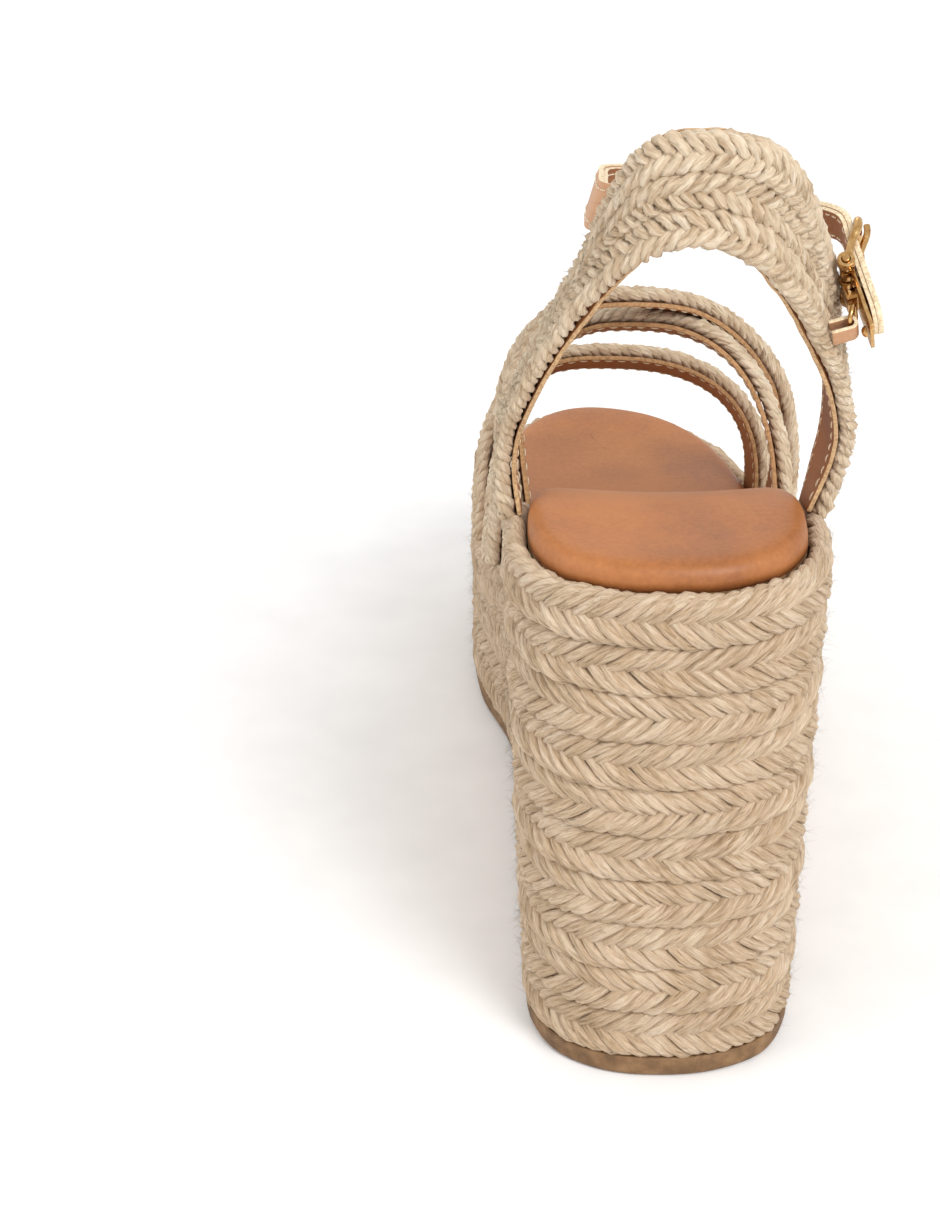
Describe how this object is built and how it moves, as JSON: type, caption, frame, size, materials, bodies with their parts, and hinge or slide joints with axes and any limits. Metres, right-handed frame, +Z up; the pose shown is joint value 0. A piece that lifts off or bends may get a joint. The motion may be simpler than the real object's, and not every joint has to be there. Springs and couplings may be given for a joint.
{
  "type": "wedge sandal",
  "caption": "Wedge sandal for the right foot with a braided jute platform, leather footbed, woven vamp and ankle band, and a leather ankle strap with a small metal buckle.",
  "frame": {"origin": "on the flat tread of the outsole, on its long middle line near the middle of its length", "axes": "+X to the outer side of the foot, +Y towards the toe, +Z up"},
  "size_m": [0.0819, 0.2428, 0.2117],
  "materials": {
    "jute_braid": "natural jute, coarse plait, matt",
    "fine_jute_braid": "natural jute, fine twisted plait, matt",
    "brown_rubber": "brown crepe rubber, matt",
    "cork_core": "cork wedge, hidden",
    "fibre_board": "fibre board, hidden",
    "latex_foam": "latex foam, hidden",
    "tan_leather": "smooth tan leather, soft sheen",
    "lining_leather": "tan lining leather with pale cut edges",
    "pale_gold_metal": "polished pale gold plate"
  },
  "bodies": {
    "sandal": {"outsole": "brown_rubber", "wedge_core": "cork_core", "insole_board": "fibre_board", "footbed_foam": "latex_foam", "footbed_leather": "tan_leather", "braid_row_1": "jute_braid", "braid_row_2": "jute_braid", "braid_row_3": "jute_braid", "braid_row_4": "jute_braid", "braid_row_5": "jute_braid", "braid_row_6": "jute_braid", "braid_row_7": "jute_braid", "braid_row_8": "jute_braid", "braid_row_9": "jute_braid", "rim_braid": "jute_braid", "ankle_braid_lower": "fine_jute_braid", "ankle_braid_middle": "fine_jute_braid", "ankle_braid_upper": "fine_jute_braid", "ankle_lining": "lining_leather", "vamp_strap_1": "fine_jute_braid", "vamp_lining_1": "lining_leather", "vamp_strap_2": "fine_jute_braid", "vamp_lining_2": "lining_leather", "vamp_strap_3": "fine_jute_braid", "vamp_lining_3": "lining_leather", "vamp_strap_4": "fine_jute_braid", "vamp_lining_4": "lining_leather", "strap_anchor_tab": "tan_leather", "ring_tab": "tan_leather"},
    "ankle_strap": {"strap_leather": "tan_leather", "strap_backing": "lining_leather", "heel_bar": "pale_gold_metal", "hook_plate": "pale_gold_metal", "plate_rivet": "pale_gold_metal"},
    "buckle": {"buckle_frame": "pale_gold_metal"},
    "prong": {"prong": "pale_gold_metal"},
    "ring": {"hook_ring": "pale_gold_metal"}
  },
  "joints": [
    {"name": "ankle_strap_swing", "type": "hinge", "parent": "sandal", "child": "ankle_strap", "pos_m": [-0.0146, -0.086, 0.1872], "axis": [0.2924, 0.0478, 0.9551], "range_deg": [0, 100]},
    {"name": "buckle_swing", "type": "hinge", "parent": "ankle_strap", "child": "buckle", "pos_m": [0.03567, -0.08134, 0.16982], "axis": [0.1434, 0.5572, -0.8179], "range_deg": [0, 25]},
    {"name": "prong_lift", "type": "hinge", "parent": "buckle", "child": "prong", "pos_m": [0.03567, -0.08134, 0.16982], "axis": [0.1434, 0.5572, -0.8179], "range_deg": [0, 50]},
    {"name": "ring_swing", "type": "hinge", "parent": "sandal", "child": "ring", "pos_m": [0.03559, -0.09068, 0.16344], "axis": [0.1434, 0.5572, -0.8179], "range_deg": [-25, 0]}
  ]
}
